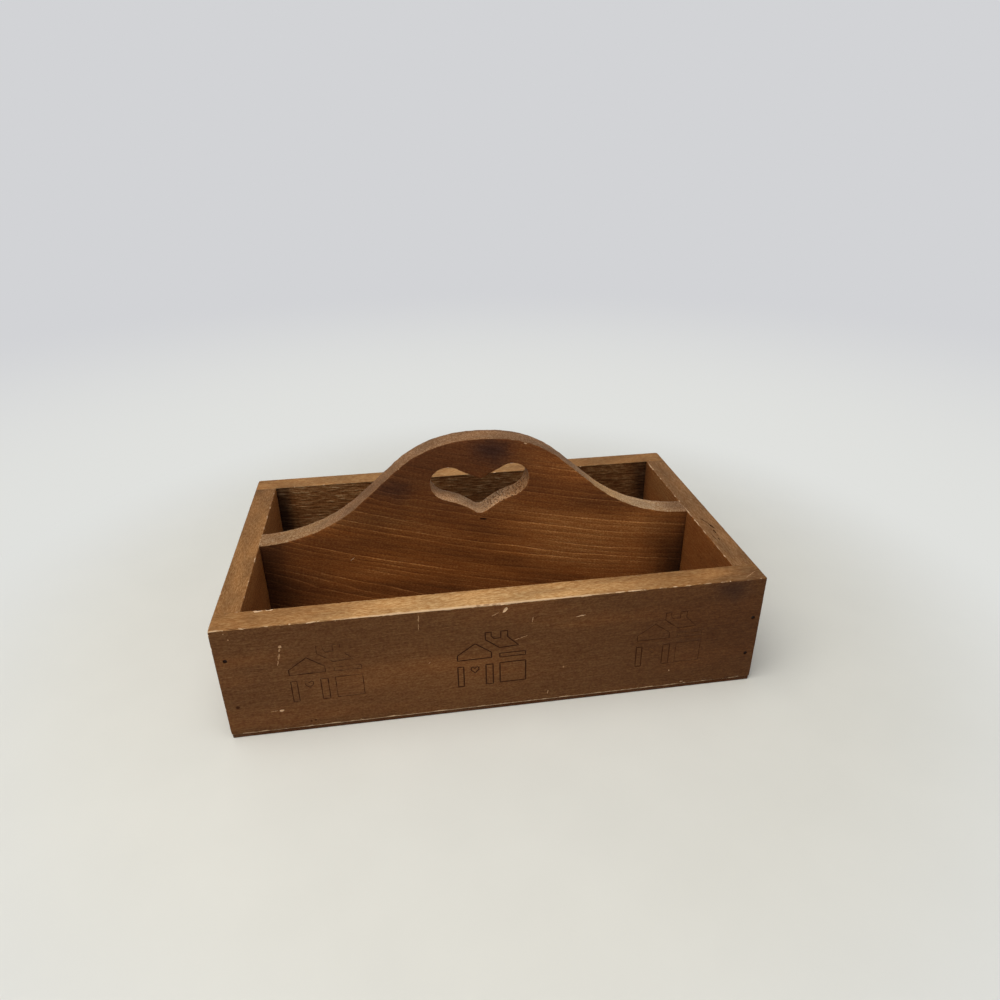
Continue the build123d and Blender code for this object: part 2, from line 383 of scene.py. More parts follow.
def streaks(tree, place, millimetres, detail=3.0, roughness=0.5):
    """A random pattern in which the lumps are about these sizes along X, Y and Z."""
    space = vector_maths(tree, "MULTIPLY", place, per(*millimetres))
    return add_node(tree, "TexNoise", {"Vector": space, "Scale": 1.0, "Detail": detail,
                                       "Roughness": roughness})


def overlay(tree, under, patches):
    """Lay patches over a colour; each is a nearness, the name of a colour and a strength."""
    for near, colour, strength in patches:
        under = blend(tree, maths(tree, "MULTIPLY", near, strength), under, getattr(colours(), colour))
    return under


def arris_distance(tree, place, low, high):
    """How far a point on a board lies from the board's nearest edge."""
    middle = vector_maths(tree, "SUBTRACT", place, (low + high) / 2)
    spread = vector_maths(tree, "ABSOLUTE", middle)
    inward = vector_maths(tree, "SUBTRACT", (high - low) / 2, spread)
    x, y, z = add_node(tree, "SeparateXYZ", {0: inward}, out=None).outputs
    pairs = [maths(tree, "MAXIMUM", a, b) for a, b in ((x, y), (y, z), (x, z))]
    return maths(tree, "MINIMUM", maths(tree, "MINIMUM", pairs[0], pairs[1]), pairs[2])


def growth(tree, place, grain, log, patches):
    """Growth lines round the log's heart, with the wander of a real trunk and a swell round each knot.

    Returns each year's shades from dark to pale and how clearly they show, then the pale lines and how
    clearly those show.
    """
    along = add_node(tree, "SeparateXYZ", {0: grain})
    wander = maths(tree, "MULTIPLY", maths(tree, "MULTIPLY", along, along), log.bow)
    for near, colour, strength in patches:
        if colour == "knot":
            wander = maths(tree, "MULTIPLY_ADD", near, KNOT_SWELL * MM, wander)
    sway = streaks(tree, grain, (230, 26, 26))
    wander = maths(tree, "MULTIPLY_ADD", sway, TRUNK_SWAY * MM, wander)
    across = vector_maths(tree, "MULTIPLY", grain, (0, 1, 1))
    radius = vector_maths(tree, "LENGTH", across, out="Value")
    phase = maths(tree, "MULTIPLY", maths(tree, "ADD", radius, wander), per(log.ring)[0])
    season = maths(tree, "FRACT", phase)
    early = add_node(tree, "ValToRGB", {0: season}, stops=((0.0, 0.74), (0.5, 1.0), (0.9, 1.12), (1.0, 0.74)))
    late = add_node(tree, "ValToRGB", {0: season},
                    stops=((0.0, 0.0), (0.7, 0.0), (0.84, 0.2), (0.91, 1.0), (0.96, 0.9), (1.0, 0.0)))

    # Some years and some stretches of the board show their lines less
    stretch = ranged(tree, streaks(tree, grain, (60, 8, 8), detail=2.0), 0.36, 0.6, 0.3, 1.0)
    chance = add_node(tree, "TexWhiteNoise", {"W": maths(tree, "FLOOR", phase)}, noise_dimensions="1D")
    some = maths(tree, "MULTIPLY", late, ranged(tree, chance, 0.15, 0.85))
    line = maths(tree, "MULTIPLY", some, stretch)
    line_strength = maths(tree, "MULTIPLY", line, log.clear)
    for spot, half in log.calm:
        left = ranged(tree, nearness(tree, place, spot, half), 0.0, 1.0, 1.0, 0.1)
        line_strength = maths(tree, "MULTIPLY", line_strength, left)
    year_strength = maths(tree, "MULTIPLY", stretch, min(1.0, 1.6 * log.clear))
    return early, year_strength, line, line_strength


def coat(tree, grain, log, stain, lining, inside):
    """Stain that took unevenly in long clouds, one kind outside and one on the side that faces inwards."""
    cloud = streaks(tree, grain, (130, 24, 24))
    thick = ranged(tree, cloud, 0.5, 0.34, 0.0, log.cloudy)
    thin = ranged(tree, cloud, 0.5, 0.66, 0.0, log.cloudy)
    sides = [blend(tree, thin, blend(tree, thick, plain, dark), bright)
             for dark, plain, bright in (stain, lining)]
    return blend(tree, inside, *sides)


def pale_edges(tree, grain, normal, log, rims, sawn):
    """Handled and sawn edges: lighter, with a grainy speckle that is drawn coarser than it is, to show.

    Returns where they are and their colour.
    """
    facing = add_node(tree, "SeparateXYZ", {0: normal}, out=None).outputs
    if sawn:
        where = ranged(tree, maths(tree, "ABSOLUTE", facing["Y"]), 0.75, 0.45)
        paled, speck_size, speck_depth = colours().sawn, (1.2, 1.2, 1.2), 0.68
    else:
        where = ranged(tree, facing["Z"], 0.45, 0.8)
        paled, speck_size, speck_depth = colours().edge, (4.0, 0.9, 0.9), 0.42
    tan = overlay(tree, blend(tree, 1.0 - log.tan, paled, colours().sheet), rims)
    mottle = streaks(tree, grain, (34, 12, 12))
    tan = shaded(tree, tan, mottle, ((0.32, 0.8), (0.5, 1.0), (0.68, 1.22)))
    speck = streaks(tree, grain, speck_size, detail=2.0, roughness=0.8)
    return where, shaded(tree, tan, speck, swing(speck_depth, 0.35, 0.65))


def bared(tree, place, grain, log, box):
    """How far knocks and hands have bared the raw wood along a board's edges, with a painted highlight drawn
    as bare wood along the front's bottom edge.
    """
    knock = streaks(tree, grain, (9, 2.2, 2.2), detail=4.0, roughness=0.65)
    reach = ranged(tree, knock, 0.5, 0.75, -0.7 * MM, 0.9 * MM)
    for spot, half, wider in log.worn_and_highlit:
        reach = maths(tree, "MULTIPLY_ADD", nearness(tree, place, spot, half), wider * MM, reach)
    past_edge = maths(tree, "SUBTRACT", reach, arris_distance(tree, place, *box))
    return ranged(tree, past_edge, 0.0, 0.35 * MM, 0.0, 0.8)


def pine(name, log, stain, lining, box, inward, sawn=False, ridged=False):
    """Stained pine: pale thin growth lines on brown wood, fine fibres, and raw wood where edges are worn.

    Planed softwood takes stain unevenly, so the soft wood goes dark and the dense lines stay pale. The
    surface is dull, with a faint broken gloss. The stain is a dark, a plain and a bright colour; the lining
    is the same for the side that faces inwards. A sawn board has its whole outline left from the saw, any
    other a top edge that hands have worn pale. A ridged board has torn fibres on its inner side.
    """
    material, tree, shader = new_material(name)
    place = add_node(tree, "TexCoord", out="Object")
    normal = add_node(tree, "NewGeometry", out="Normal")
    turn = tuple(math.radians(angle) for angle in log.turn)
    grain = add_node(tree, "Mapping", {"Vector": place, "Rotation": turn, "Location": Vector(log.heart) * MM})
    patches, rims = ([(nearness(tree, place, spot, half), tone, strength)
                      for spot, half, tone, strength in spots] for spots in (log.patches, log.rims))
    turned_in = vector_maths(tree, "DOT_PRODUCT", normal, inward, out="Value")
    inside = ranged(tree, turned_in, 0.3, 0.7)
    early, year_strength, line, line_strength = growth(tree, place, grain, log, patches)
    colour = overlay(tree, coat(tree, grain, log, stain, lining, inside), patches)
    colour = blend(tree, year_strength, colour, early, "MULTIPLY")
    colour = blend(tree, line_strength, colour, LINE_LIFT, "MULTIPLY")

    # Fibres 9 mm long and the pores between them, drawn 0.8 and 1 mm wide, coarser than they are, to show
    fibre = streaks(tree, grain, (9, 0.8, 0.8), roughness=0.6)
    pore = streaks(tree, grain, (1.8, 1.0, 1.0), roughness=0.7)
    colour = shaded(tree, colour, fibre, swing(log.fibres))
    colour = shaded(tree, colour, pore, swing(log.pores, 0.34, 0.66))

    # Torn fibres stand up pale from the dark hollows that the saw left
    if ridged:
        ridge = add_node(tree, "Attribute", out="Fac", attribute_name="ridge")
        colour = blend(tree, inside, colour, shaded(tree, colour, ridge, swing(0.55, 0.3, 0.8)))

    edges, tan = pale_edges(tree, grain, normal, log, rims, sawn)
    colour = blend(tree, edges, colour, tan)
    if not sawn:
        colour = blend(tree, bared(tree, place, grain, log, box), colour, colours().raw)
    rough = ranged(tree, fibre, 0.25, 0.75, 0.78, 0.62)
    height = maths(tree, "ADD", fibre, line)
    bump = add_node(tree, "Bump", {"Height": height, "Strength": 0.35, "Distance": 0.25 * MM})
    fill_inputs(tree, shader, {"Base Color": colour, "Roughness": rough, "IOR": 1.45,
                               "Specular IOR Level": 0.2, "Normal": bump})
    return material


def bare_pine(name, soiled):
    """Raw pine: pale straw-coloured wood torn open by a knock, dull and fibrous, a little soiled.

    Soiled is the share of the paleness that dirt has taken where the wood is cleanest.
    """
    material, tree, shader = new_material(name)
    place = add_node(tree, "TexCoord", out="Object")
    fibre = streaks(tree, place, (4, 0.9, 0.9), detail=2.0)
    soil_and_painted_shade = ranged(tree, fibre, 0.35, 0.7, soiled + 0.4, soiled)
    colour = blend(tree, soil_and_painted_shade, colours().raw, colours().edge)
    bump = add_node(tree, "Bump", {"Height": fibre, "Strength": 0.5, "Distance": 0.2 * MM})
    fill_inputs(tree, shader, {"Base Color": colour, "Roughness": 0.8, "Normal": bump})
    return material


def pressed_pine(name, worn):
    """Pressed pine: crushed fibres that hold dark stain and dust, so each line reads as a dark stroke.

    Worn is the share of that darkness which has been rubbed away.
    """
    material, tree, shader = new_material(name)
    place = add_node(tree, "TexCoord", out="Object")
    patch = add_node(tree, "TexNoise", {"Vector": place, "Scale": per(5)[0], "Detail": 2.0})
    fade = ranged(tree, patch, 0.35, 0.7, worn, worn + 0.35)
    colour = blend(tree, fade, colours().pressed, colours().deep_stain)
    fill_inputs(tree, shader, {"Base Color": colour, "Roughness": 0.8, "Specular IOR Level": 0.1})
    return material


def nail_steel():
    """Browned mild steel: drawn wire nails dulled by rust and stain, with a broken dark shine, and darkened
    further as painted shade for heads deep in their holes.
    """
    material, tree, shader = new_material("nail_steel_browned")
    place = add_node(tree, "TexCoord", out="Object")
    rust = add_node(tree, "TexNoise", {"Vector": place, "Scale": per(1.2)[0], "Detail": 4.0})
    rusty = ranged(tree, rust, 0.4, 0.62)
    colour = blend(tree, rusty, colours().steel, colours().pressed)
    rough = ranged(tree, rusty, 0.0, 1.0, 0.45, 0.85)
    fill_inputs(tree, shader, {"Base Color": colour, "Roughness": rough, "Metallic": 0.6})
    return material


def sheet_board():
    """Hardboard: pressed brown fibre, smooth and even, with a felted speckle and slightly furry edges."""
    material, tree, shader = new_material("stained_hardboard")
    place = add_node(tree, "TexCoord", out="Object")
    # The felted fibres are drawn 2.6 mm across, coarser than they are, so that they show
    felt = add_node(tree, "TexNoise", {"Vector": place, "Scale": per(2.6)[0], "Detail": 4.0,
                                       "Roughness": 0.7})
    stain = add_node(tree, "TexNoise", {"Vector": place, "Scale": per(60)[0], "Detail": 3.0})
    spread = ranged(tree, stain, 0.35, 0.65, 0.3, 0.95)
    base = blend(tree, spread, colours().sheet, colours().deep_stain)
    colour = shaded(tree, base, felt, swing(0.45))
    bump = add_node(tree, "Bump", {"Height": felt, "Strength": 0.3, "Distance": 0.2 * MM})
    fill_inputs(tree, shader, {"Base Color": colour, "Roughness": 0.8, "Specular IOR Level": 0.15,
                               "Normal": bump})
    return material


def only(obj):
    """Make one object the active and only selected one."""
    bpy.ops.object.select_all(action="DESELECT")
    obj.select_set(True)
    bpy.context.view_layer.objects.active = obj


def finish_modifier(obj, kind, **settings):
    """Put a modifier on an object and apply it at once."""
    only(obj)
    modifier = obj.modifiers.new(kind.title(), kind)
    for setting, value in settings.items():
        setattr(modifier, setting, value)
    bpy.ops.object.modifier_apply(modifier=modifier.name)


def slice_along(plank, axis, cell):
    """Divide the edges that run along one axis until none is longer than a cell."""
    while True:
        mesh = bmesh.from_edit_mesh(plank.data)
        longest = 0.0
        for edge in mesh.edges:
            run = edge.verts[1].co - edge.verts[0].co
            parallel = abs(run[axis]) > PARALLEL * run.length
            edge.select_set(parallel and run.length > cell)
            if edge.select:
                longest = max(longest, run.length)
        bmesh.update_edit_mesh(plank.data)
        if not longest:
            return
        bpy.ops.mesh.subdivide(number_cuts=min(100, math.ceil(longest / cell) - 1))


def saw_plank(name, node, cells, rounded=(0, 1, 2), inner=(0, 0, 0)):
    """A board at a CAD node's place, its edges along the rounded axes eased, cut into cells to be worn.

    The edges on the inner side, which the vector points to, stay crisp.
    """
    low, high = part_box(node)
    bpy.ops.object.select_all(action="DESELECT")
    bpy.ops.mesh.primitive_cube_add(size=1.0, location=(low + high) / 2, scale=high - low)
    plank = bpy.context.object
    plank.name = plank.data.name = name
    bpy.ops.object.transform_apply(location=True, rotation=False, scale=True)
    easing = plank.data.attributes.new("bevel_weight_edge", "FLOAT", "EDGE")
    for edge in plank.data.edges:
        start, end = (plank.data.vertices[index].co for index in edge.vertices)
        along = max(range(3), key=lambda axis: abs(end[axis] - start[axis]))
        faces_in = ((start + end) / 2 - (low + high) / 2).dot(Vector(inner)) > 0
        radius = sizes().crisp_radius if faces_in else sizes().arris_radius
        easing.data[edge.index].value = radius / sizes().arris_radius if along in rounded else 0.0
    finish_modifier(plank, "BEVEL", width=sizes().arris_radius, segments=3, limit_method="WEIGHT")
    bpy.ops.object.mode_set(mode="EDIT")
    bpy.ops.mesh.select_mode(type="EDGE")
    for axis, cell in enumerate(cells):
        slice_along(plank, axis, cell * MM)
    bpy.ops.object.mode_set(mode="OBJECT")
    return plank


def clouds(name, millimetres, contrast=1.0, depth=2):
    """A soft random texture for wear, its lumps about the given size."""
    texture = bpy.data.textures.new(name, "CLOUDS")
    texture.noise_scale = millimetres * MM
    texture.noise_depth = depth
    texture.contrast = contrast
    texture.use_clamp = True
    return texture


def mark(plank, name, weight):
    """A vertex group in which each vertex has the weight that a rule gives it."""
    group = plank.vertex_groups.new(name=name)
    for vertex in plank.data.vertices:
        group.add([vertex.index], float(weight(vertex)), "REPLACE")
    return name


def wear(plank, on_arris):
    """Hollow a plank's faces by a hair and knock its edges about, inwards only."""
    worn = mark(plank, "arris", on_arris)
    finish_modifier(plank, "DISPLACE", texture=clouds("edge_knocks", 5, contrast=2.2), texture_coords="LOCAL",
                    strength=-sizes().arris_wear, mid_level=0.0, vertex_group=worn)
    finish_modifier(plank, "DISPLACE", texture=clouds("plane_waves", 40), texture_coords="LOCAL",
                    strength=-sizes().face_wave, mid_level=0.0)


def box_arris(node, inner):
    """A rule that marks the eased edges of a plank, and the crisp ones on its inner side less."""
    middle = sum(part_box(node), Vector()) / 2
    crisp = sizes().crisp_radius / sizes().arris_radius

    def weight(vertex):
        if max(abs(part) for part in vertex.normal) > FLAT:
            return 0.0
        return crisp if (vertex.co - middle).dot(Vector(inner)) > 0 else 1.0

    return weight


def tear_fibres(plank, chosen):
    """Leave the chosen faces rough from the saw, and keep how high each point stands as "ridge"."""
    before = [vertex.co.copy() for vertex in plank.data.vertices]
    torn = mark(plank, "torn", chosen)
    bpy.ops.object.empty_add(rotation=(0, math.radians(2), 0))
    stretch = bpy.context.object
    stretch.scale = (6.0, 1.0, 1.0)
    for texture, share in ((clouds("torn_fibres", 1.5, contrast=1.6), 0.7), (clouds("saw_waves", 7), 0.3)):
        finish_modifier(plank, "DISPLACE", texture=texture, texture_coords="OBJECT",
                        texture_coords_object=stretch, strength=-sizes().saw_ridge * share, mid_level=0.0,
                        vertex_group=torn)
    bpy.data.objects.remove(stretch)
    ridge = plank.data.attributes.new("ridge", "FLOAT", "POINT")
    for vertex, start in zip(plank.data.vertices, before):
        ridge.data[vertex.index].value = 1 - (vertex.co - start).length / sizes().saw_ridge


def scar(place, half, turn=(0, 0, 0), slot=RAW):
    """A cutter for a chip or dab: a rough pebble of half sizes in millimetres, turned by degrees.

    Its place gives each pebble a shape of its own.
    """
    bpy.ops.object.select_all(action="DESELECT")
    bpy.ops.mesh.primitive_ico_sphere_add(subdivisions=2, radius=1.0)
    pebble = bpy.context.object
    bpy.ops.object.mode_set(mode="EDIT")
    bpy.ops.transform.vertex_random(offset=RAGGED, normal=1.0, seed=round(abs(sum(place)) * 10) + 1)
    bpy.ops.object.mode_set(mode="OBJECT")
    pebble.location = Vector(place) * MM
    pebble.scale = Vector(half) * MM
    pebble.rotation_euler = tuple(math.radians(angle) for angle in turn)
    bpy.ops.object.transform_apply(location=True, rotation=True, scale=True)
    return pebble, slot


def groove(points, slot):
    """A cutter for a thin groove: a closed tube through points in millimetres, each with its radius."""
    tube, curve = new_curve("groove", "3D")
    curve.bevel_depth = MM
    curve.bevel_resolution = 1
    curve.use_fill_caps = True
    spline = curve.splines.new("POLY")
    spline.points.add(len(points) - 1)
    for point, (spot, radius) in zip(spline.points, points):
        point.co = (*(Vector(spot) * MM), 1.0)
        point.radius = radius
    only(tube)
    bpy.ops.object.convert(target="MESH")
    return bpy.context.object, slot


def scratch(start, end, width, seed, level=None, slot=RAW):
    """A cutter for a scratch between two points in millimetres, which wanders, tapers and half skips.

    The points are along and up the front board from its left end and the floor, or, at a level, in X and Y.
    """
    dice = random.Random(seed)
    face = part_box("front_board")[0] / MM
    start, end = Vector(start), Vector(end)
    steps = max(4, round((end - start).length / 0.9))
    points = []
    for step in range(steps + 1):
        x, y = start.lerp(end, step / steps)
        x += dice.uniform(-0.15, 0.15) * width
        y += dice.uniform(-0.15, 0.15) * width
        radius = width / 2 * dice.uniform(0.6, 1.0) * (0.35 + 0.65 * math.sin(math.pi * step / steps))
        lift = dice.uniform(-0.3, 0.8) * radius
        if level is None:
            points.append(((face.x + x, face.y - lift, y), radius))
        else:
            points.append(((x, y, level + lift), radius))
    return groove(points, slot)


def edge_chips(start, end, count, seed):
    """Cutters for small chips scattered along a straight edge between two points in metres."""
    start, end = Vector(start), Vector(end)
    dice = random.Random(seed)
    axis = max(range(3), key=lambda a: abs(end[a] - start[a]))
    chips = []
    for number in range(count):
        half = [dice.uniform(0.35, 0.75) for side in range(3)]
        half[axis] = dice.uniform(0.6, 2.2)
        turn = [dice.uniform(-12, 12) for side in range(3)]
        share = 0.02 + 0.96 * (number + dice.uniform(0.1, 0.9)) / count
        chips.append(scar(start.lerp(end, share) / MM, half, turn))
    return chips


def nail_places(node, axis, side):
    """Centres of a nail group's heads, found at the end of the CAD node that faces outwards."""
    points = [vertex.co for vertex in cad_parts[node].data.vertices]
    outer = max(side * point[axis] for point in points)
    heads = [point for point in points if side * point[axis] > outer - HEAD_LEVEL * MM]
    spread = max(range(3), key=lambda a: max(p[a] for p in heads) - min(p[a] for p in heads))
    heads.sort(key=lambda point: point[spread])
    groups = [[heads[0]]]
    for before, point in zip(heads, heads[1:]):
        if point[spread] - before[spread] > NAIL_GAP * MM:
            groups.append([])
        groups[-1].append(point)
    return [sum(group, Vector()) / len(group) for group in groups]


def nail_pockets(node, axis, side, radius, face, filled=()):
    """Cutters for the pockets that a nail group's heads sit in, below a face.

    The filled ones, by number from the lowest, were stopped with wax and are only dimples.
    """
    cutters = []
    for number, centre in enumerate(nail_places(node, axis, side)):
        if number in filled:
            dimple = centre / MM
            dimple[axis] = face / MM
            half = [radius, radius, radius]
            half[axis] = DIMPLE_DEPTH
            cutters.append(scar(dimple, half, slot=FAINT))
            continue
        floor = centre[axis] - side * POCKET_SINK * MM
        top = face + side * POCKET_RISE * MM
        middle = centre.copy()
        middle[axis] = (floor + top) / 2
        turn = (math.pi / 2 if axis == 1 else 0, math.pi / 2 if axis == 0 else 0, 0)
        bpy.ops.object.select_all(action="DESELECT")
        bpy.ops.mesh.primitive_cylinder_add(vertices=POCKET_SIDES, radius=radius * MM,
                                            depth=abs(top - floor), location=middle, rotation=turn)
        pocket = bpy.context.object
        bpy.ops.object.transform_apply(location=True, rotation=True, scale=True)
        bpy.ops.object.mode_set(mode="EDIT")
        bpy.ops.mesh.select_all(action="SELECT")
        bpy.ops.transform.vertex_random(offset=POCKET_RAGGED * MM, seed=number)
        bpy.ops.object.mode_set(mode="OBJECT")
        cutters.append((pocket, PRESSED))
    return cutters


def arc_handles(start, middle, end):
    """Bezier handles at both ends of the arc that runs from start through middle to end."""
    (ax, ay), (bx, by), (cx, cy) = start, middle, end
    twice = 2 * (ax * (by - cy) + bx * (cy - ay) + cx * (ay - by))
    a, b, c = ax * ax + ay * ay, bx * bx + by * by, cx * cx + cy * cy
    centre = Vector(((a * (by - cy) + b * (cy - ay) + c * (ay - by)) / twice,
                     (a * (cx - bx) + b * (ax - cx) + c * (bx - ax)) / twice))
    spokes = [Vector(point) - centre for point in (start, middle, end)]
    sweep = -spokes[0].angle_signed(spokes[1]) - spokes[1].angle_signed(spokes[2])
    reach = 4 / 3 * math.tan(sweep / 4)
    return (Vector(start) + spokes[0].orthogonal() * reach, Vector(end) - spokes[2].orthogonal() * reach)


def draw_outline(curve, runs):
    """Add one closed Bezier outline; each run is two points for a line or three for an arc."""
    spline = curve.splines.new("BEZIER")
    spline.use_cyclic_u = True
    spline.bezier_points.add(len(runs) - 1)
    points = list(spline.bezier_points)
    for number, run in enumerate(runs):
        here, there = points[number], points[(number + 1) % len(runs)]
        here.handle_left_type = here.handle_right_type = "FREE"
        if len(run) == 3:
            leave, arrive = arc_handles(*run)
        else:
            leave = Vector(run[0]).lerp(Vector(run[1]), 1 / 3)
            arrive = Vector(run[0]).lerp(Vector(run[1]), 2 / 3)
        here.co = (*run[0], 0)
        here.handle_right = (*leave, 0)
        there.handle_left_type = "FREE"
        there.handle_left = (*arrive, 0)
    return spline


def heart_runs(tip, width, height):
    """The lines and arcs of a heart, from its notch down the right side and up the left."""

    def at(side, share):
        return (tip[0] + side * share[0] * width / 2, tip[1] + share[1] * height)

    notch = (0, HEART_NOTCH)
    flank = HEART_ARCS[-1][-1]
    right = [(at(1, notch), at(1, HEART_ARCS[0][0]))]
    right += [tuple(at(1, share) for share in arc) for arc in HEART_ARCS]
    left = [tuple(at(-1, share) for share in reversed(arc)) for arc in reversed(HEART_ARCS)]
    left.append((at(-1, HEART_ARCS[0][0]), at(-1, notch)))
    return right + [(at(1, flank), tip, at(-1, flank))] + left


def arch_runs(low, high, rim):
    """The lines and arcs of the divider's outline between two corners, its arch rising from the rim."""
    rise = high.z - rim
    end = high.x
    crown, shoulder, top, foot = ((x * end, rim + z * rise) for x, z in ARCH)

    # The foot arc leaves the rim level, so its centre is straight above the divider's end
    across, up = end - foot[0], foot[1] - rim
    bend = (across * across + up * up) / (2 * up)
    half_turn = math.atan2(across, bend - up) / 2
    sag = (end - bend * math.sin(half_turn), rim + bend * (1 - math.cos(half_turn)))

    def left(point):
        return (-point[0], point[1])

    return [
        ((-end, low.z), (end, low.z)),
        ((end, low.z), (end, rim)),
        ((end, rim), sag, foot),
        (foot, top),
        (top, shoulder, crown),
        (crown, (0, high.z), left(crown)),
        (left(crown), left(shoulder), left(top)),
        (left(top), left(foot)),
        (left(foot), left(sag), (-end, rim)),
        ((-end, rim), (-end, low.z)),
    ]


def saw_pits(plank, tip, top, seed):
    """Cutters for pits that the saw tore in the end grain of a heart's right side, from tip to top."""
    dice = random.Random(seed)

    # Points of the side wall that face upwards, clear of the tip and of the widest part
    flank = [vertex.co / MM for vertex in plank.data.vertices
             if abs(vertex.normal.y) < 0.2 and vertex.normal.z > 0.25 and 3 * MM < vertex.co.x < 37 * MM
             and tip < vertex.co.z < top]
    dice.shuffle(flank)
    spots = []
    pits = []
    for spot in flank:
        if len(spots) < PIT_COUNT and all((spot - other).length > PIT_SPACING for other in spots):
            spots.append(spot)
            half = (dice.uniform(0.4, 0.85), dice.uniform(0.4, 0.85), 0.45)
            pits.append(scar(spot, half, (0, -28, 0), dice.choice((PRESSED, FAINT))))
    return pits


def new_curve(name, dimensions):
    """An empty curve object at the origin."""
    curve = bpy.data.curves.new(name, "CURVE")
    curve.dimensions = dimensions
    obj = bpy.data.objects.new(name, curve)
    bpy.context.collection.objects.link(obj)
    return obj, curve


def press_house(corner, depths, face, seed):
    """A cutter for one pressed house: round tubes that dip into the face, deeper here than there."""
    size = sizes()
    tubes, curve = new_curve("house_lines", "3D")
    curve.bevel_depth = size.line_radius
    curve.bevel_resolution = 1

    def dip(x, z, depth):
        lift = noise.noise(Vector((x, seed, z)) / (PRESS_LUMP * MM)) * 0.5 + depth
        return (x, face - size.line_radius + size.line_depth * lift, z, 1.0)

    slots = []
    for panel, depth in zip(HOUSE_PANELS, depths):
        corners = [Vector((corner[0] + x * size.house_width, corner[1] + z * size.house_height))
                   for x, z in panel]
        path = []
        for start, end in zip(corners, corners[1:] + corners[:1]):
            steps = max(1, round((end - start).length / (PRESS_STEP * MM)))
            path += [start.lerp(end, step / steps) for step in range(steps)]
        spline = curve.splines.new("POLY")
        spline.use_cyclic_u = True
        spline.points.add(len(path) - 1)
        for point, (x, z) in zip(spline.points, path):
            point.co = dip(x, z, depth)
        spline.material_index = len(slots)
        slots.append(FAINT if depth < FAINT_DEPTH else PRESSED)
    for slot in slots:
        curve.materials.append(None)
    only(tubes)
    bpy.ops.object.convert(target="MESH")
    return bpy.context.object, slots


def carve(plank, cutters):
    """Take all the cutters out of a plank at once; none may touch another. Each lines its hollow."""
    for cutter, slot in cutters:
        old = [polygon.material_index for polygon in cutter.data.polygons]
        cutter.data.materials.clear()
        for material in plank.data.materials:
            cutter.data.materials.append(material)
        for polygon, index in zip(cutter.data.polygons, old):
            polygon.material_index = slot[index] if isinstance(slot, list) else slot
    bpy.ops.object.select_all(action="DESELECT")
    for cutter, slot in cutters:
        cutter.select_set(True)
    tool = cutters[0][0]
    whole = len(plank.data.polygons)
    bpy.context.view_layer.objects.active = tool
    bpy.ops.object.join()
    finish_modifier(plank, "BOOLEAN", object=tool, operation="DIFFERENCE", solver="EXACT",
                    material_mode="INDEX")
    bpy.data.objects.remove(tool)
    if len(plank.data.polygons) <= whole:
        raise RuntimeError(plank.name + " could not be carved")


def finish_wood(plank, finish):
    """Give a plank its finish and the linings of its hollows, in the order of the slots."""
    plank.data.materials.append(finish)
    for name, make, share in (("pressed_pine", pressed_pine, 0.0), ("raw_pine", bare_pine, 0.0),
                              ("faint_pine", pressed_pine, 0.4), ("scuffed_pine", bare_pine, 0.5)):
        plank.data.materials.append(bpy.data.materials.get(name) or make(name, share))


def studio_floor():
    """A round floor that bends up into a wall."""
    bpy.ops.object.select_all(action="DESELECT")
    bpy.ops.mesh.primitive_circle_add(vertices=96, radius=FLOOR_RADIUS, fill_type="NGON")
    floor = bpy.context.object
    floor.name = floor.data.name = "studio_floor"
    bpy.ops.object.mode_set(mode="EDIT")
    bpy.ops.mesh.select_mode(type="EDGE")
    bpy.ops.mesh.select_all(action="SELECT")
    turn = math.radians(90) / BEND_STEPS
    for step in range(BEND_STEPS):
        out = FLOOR_BEND * (math.sin((step + 1) * turn) - math.sin(step * turn))
        rise = FLOOR_BEND * (math.cos(step * turn) - math.cos((step + 1) * turn))
        radius = FLOOR_RADIUS + FLOOR_BEND * math.sin(step * turn)
        bpy.ops.mesh.extrude_edges_move(TRANSFORM_OT_translate={"value": (0, 0, rise)})
        bpy.ops.transform.resize(value=(1 + out / radius, 1 + out / radius, 1))
    bpy.ops.mesh.extrude_edges_move(TRANSFORM_OT_translate={"value": (0, 0, WALL_HEIGHT)})
    bpy.ops.object.mode_set(mode="OBJECT")
    bpy.ops.object.shade_smooth()
    return floor


def floor_paint():
    """Matt white paint: dull and faintly mottled, shown as pale past the lamp's reach as near by."""
    tone = colours()
    material, tree, shader = new_material("matt_white_paint")
    place = add_node(tree, "TexCoord", out="Object")
    mottle = add_node(tree, "TexNoise", {"Vector": place, "Scale": per(70)[0], "Detail": 3.0})
    colour = shaded(tree, tone.floor, mottle, ((0.3, 0.97), (0.7, 1.0)))
    fill_inputs(tree, shader, {"Base Color": colour, "Roughness": 0.75})
    far = vector_maths(tree, "LENGTH", place, out="Value")
    fade_start, fade_end = LIT_REACH
    beyond = ranged(tree, far, fade_start, fade_end, interpolation_type="SMOOTHSTEP")
    path = add_node(tree, "LightPath", out=None).outputs
    seen = path["Is Camera Ray"]
    for ray in ("Is Glossy Ray", "Is Transmission Ray"):
        seen = maths(tree, "MAXIMUM", seen, path[ray])
    share = maths(tree, "MULTIPLY", beyond, seen)
    distant = ranged(tree, far, fade_end, FLOOR_RADIUS, interpolation_type="SMOOTHSTEP")
    paint = blend(tree, distant, tone.floor_near, tone.floor_far)
    pale = add_node(tree, "Emission", {"Color": paint, "Strength": 1.0})
    mixed = add_node(tree, "MixShader", {0: share, 1: shader.outputs[0], 2: pale})
    output = next(node for node in tree.nodes if node.type == "OUTPUT_MATERIAL")
    fill_inputs(tree, output, {"Surface": mixed})
    return material


def hand_over(piece, node):
    """Smooth a finished piece and let it stand for its CAD node."""
    only(piece)
    bpy.ops.object.shade_smooth_by_angle(angle=math.radians(40))
    piece.vertex_groups.clear()
    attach(piece, BODY)
    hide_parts(node)


